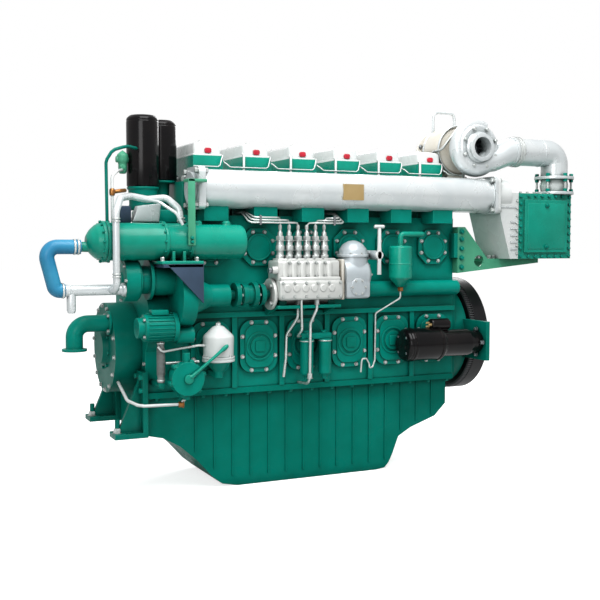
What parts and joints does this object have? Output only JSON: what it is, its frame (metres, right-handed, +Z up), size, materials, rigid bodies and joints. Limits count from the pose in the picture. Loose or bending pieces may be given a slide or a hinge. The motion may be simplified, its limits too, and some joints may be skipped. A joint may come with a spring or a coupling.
{
  "type": "marine diesel engine",
  "caption": "In-line marine diesel engine with deep oil pan, turbocharger and charge-air cooler, side fuel pump, heat exchanger, oil filters, starter and flywheel, on front feet.",
  "frame": {"origin": "crank axis at the flywheel's output face", "axes": "+X out of the flywheel along the crank, +Z up along the cylinders, -Y the side of the fuel pump and heat exchanger"},
  "size_m": [2.9357, 1.0053, 1.931],
  "materials": {
    "teal_paint": "gloss",
    "deep_teal_paint": "gloss",
    "light_green_paint": "satin",
    "silver_paint": "satin",
    "white_paint": "gloss",
    "cream_paint": "satin",
    "black_paint": "gloss",
    "slate_paint": "satin",
    "cast_aluminium": "satin",
    "bare_steel": "satin",
    "machined_steel": "satin",
    "cast_iron": "matt",
    "piston_alloy": "satin",
    "bronze": "satin",
    "plate_brass": "satin",
    "blue_hose_rubber": "satin",
    "grey_hose_rubber": "matt"
  },
  "bodies": {
    "engine": {"crankcase": "teal_paint", "main_bearing_caps": "cast_iron", "cylinder_liners": "cast_iron", "crankcase_doors": "teal_paint", "camshaft_covers": "teal_paint", "cover_bolts": "teal_paint", "oil_pan": "deep_teal_paint", "front_feet": "teal_paint", "gear_case": "teal_paint", "front_cover": "teal_paint", "flywheel_housing": "teal_paint", "cylinder_heads": "teal_paint", "rocker_covers": "white_paint", "push_rods": "bare_steel", "charge_air_pipe": "silver_paint", "intake_branches": "teal_paint", "blank_plate": "plate_brass", "compressor_housing": "cast_aluminium", "turbine_housing": "cream_paint", "exhaust_manifold": "cream_paint", "turbine_frame": "silver_paint", "air_elbow": "silver_paint", "air_cooler": "teal_paint", "air_cooler_hood": "silver_paint", "cooler_bracket": "light_green_paint", "injection_pump": "cast_aluminium", "governor": "cast_aluminium", "injection_pipes": "bare_steel", "oil_pipes": "teal_paint", "fuel_filters": "teal_paint", "oil_centrifuge": "white_paint", "hand_pump": "teal_paint", "heat_exchanger": "teal_paint", "exchanger_bracket": "slate_paint", "coolant_pipes": "silver_paint", "coolant_hose": "blue_hose_rubber", "sea_water_pump": "teal_paint", "prelube_pump": "teal_paint", "prelube_hose": "grey_hose_rubber", "oil_filters": "black_paint", "starter_motor": "black_paint"},
    "crankshaft_group": {"crankshaft": "machined_steel", "vibration_damper": "cast_iron", "flywheel": "black_paint", "ring_gear": "bare_steel"},
    "pistons_1_and_6": {"pistons_1_and_6": "piston_alloy", "connecting_rods_1_and_6": "bare_steel"},
    "pistons_2_and_5": {"pistons_2_and_5": "piston_alloy", "connecting_rods_2_and_5": "bare_steel"},
    "pistons_3_and_4": {"pistons_3_and_4": "piston_alloy", "connecting_rods_3_and_4": "bare_steel"},
    "camshaft": {"camshaft": "machined_steel"},
    "idler_gear": {"idler_gear": "machined_steel"},
    "pump_drive": {"pump_drive_shaft": "light_green_paint"},
    "sea_pump_shaft": {"pump_impeller": "bronze"},
    "turbo_rotor": {"turbo_rotor": "machined_steel"},
    "control_lever": {"control_lever": "white_paint"},
    "fuel_rack": {"fuel_rack": "machined_steel"},
    "hand_pump_lever": {"hand_pump_lever": "teal_paint"},
    "starter_pinion": {"starter_pinion": "machined_steel"}
  },
  "joints": [
    {"name": "crank_spin", "type": "hinge", "parent": "engine", "child": "crankshaft_group", "pos_m": [0, 0, 0], "axis": [1, 0, 0], "continuous": true, "deforming": ["connecting_rods_1_and_6", "connecting_rods_2_and_5", "connecting_rods_3_and_4"]},
    {"name": "pistons_1_and_6_slide", "type": "slide", "parent": "engine", "child": "pistons_1_and_6", "axis": [0, 0, 1], "range_m": [-0.21, 0], "deforming": ["connecting_rods_1_and_6"]},
    {"name": "pistons_2_and_5_slide", "type": "slide", "parent": "engine", "child": "pistons_2_and_5", "axis": [0, 0, 1], "range_m": [-0.042, 0.168], "deforming": ["connecting_rods_2_and_5"]},
    {"name": "pistons_3_and_4_slide", "type": "slide", "parent": "engine", "child": "pistons_3_and_4", "axis": [0, 0, 1], "range_m": [-0.042, 0.168], "deforming": ["connecting_rods_3_and_4"]},
    {"name": "idler_spin", "type": "hinge", "parent": "engine", "child": "idler_gear", "pos_m": [-1.77, -0.15847, 0.14083], "axis": [1, 0, 0], "continuous": true},
    {"name": "cam_spin", "type": "hinge", "parent": "engine", "child": "camshaft", "pos_m": [-1.77, -0.205, 0.40475], "axis": [1, 0, 0], "continuous": true},
    {"name": "pump_drive_spin", "type": "hinge", "parent": "engine", "child": "pump_drive", "pos_m": [-1.77, -0.397, 0.263], "axis": [1, 0, 0], "continuous": true},
    {"name": "sea_pump_spin", "type": "hinge", "parent": "engine", "child": "sea_pump_shaft", "pos_m": [-1.81, -0.35117, 0.33968], "axis": [1, 0, 0], "continuous": true},
    {"name": "turbo_spin", "type": "hinge", "parent": "engine", "child": "turbo_rotor", "pos_m": [-0.125, -0.25, 1.012], "axis": [0, 1, 0], "continuous": true},
    {"name": "control_lever_turn", "type": "hinge", "parent": "engine", "child": "control_lever", "pos_m": [-0.794, -0.498, 0.448], "axis": [0, 1, 0], "range_deg": [-30, 30]},
    {"name": "fuel_rack_slide", "type": "slide", "parent": "engine", "child": "fuel_rack", "axis": [1, 0, 0], "range_m": [-0.01, 0.01]},
    {"name": "hand_pump_turn", "type": "hinge", "parent": "engine", "child": "hand_pump_lever", "pos_m": [-1.773, -0.486, -0.11], "axis": [0, 1, 0], "range_deg": [-40, 40]},
    {"name": "starter_pinion_slide", "type": "slide", "parent": "engine", "child": "starter_pinion", "axis": [1, 0, 0], "range_m": [0, 0.025], "stiffness_N_per_m": 300}
  ],
  "couplings": [
    {"joint": "idler_spin", "follows": "crank_spin", "ratio": -0.35897},
    {"joint": "cam_spin", "follows": "crank_spin", "ratio": 0.5},
    {"joint": "pump_drive_spin", "follows": "crank_spin", "ratio": 0.5},
    {"joint": "sea_pump_spin", "follows": "crank_spin", "ratio": -1.1667},
    {"joint": "fuel_rack_slide", "follows": "control_lever_turn", "m_per_rad": 0.019}
  ]
}
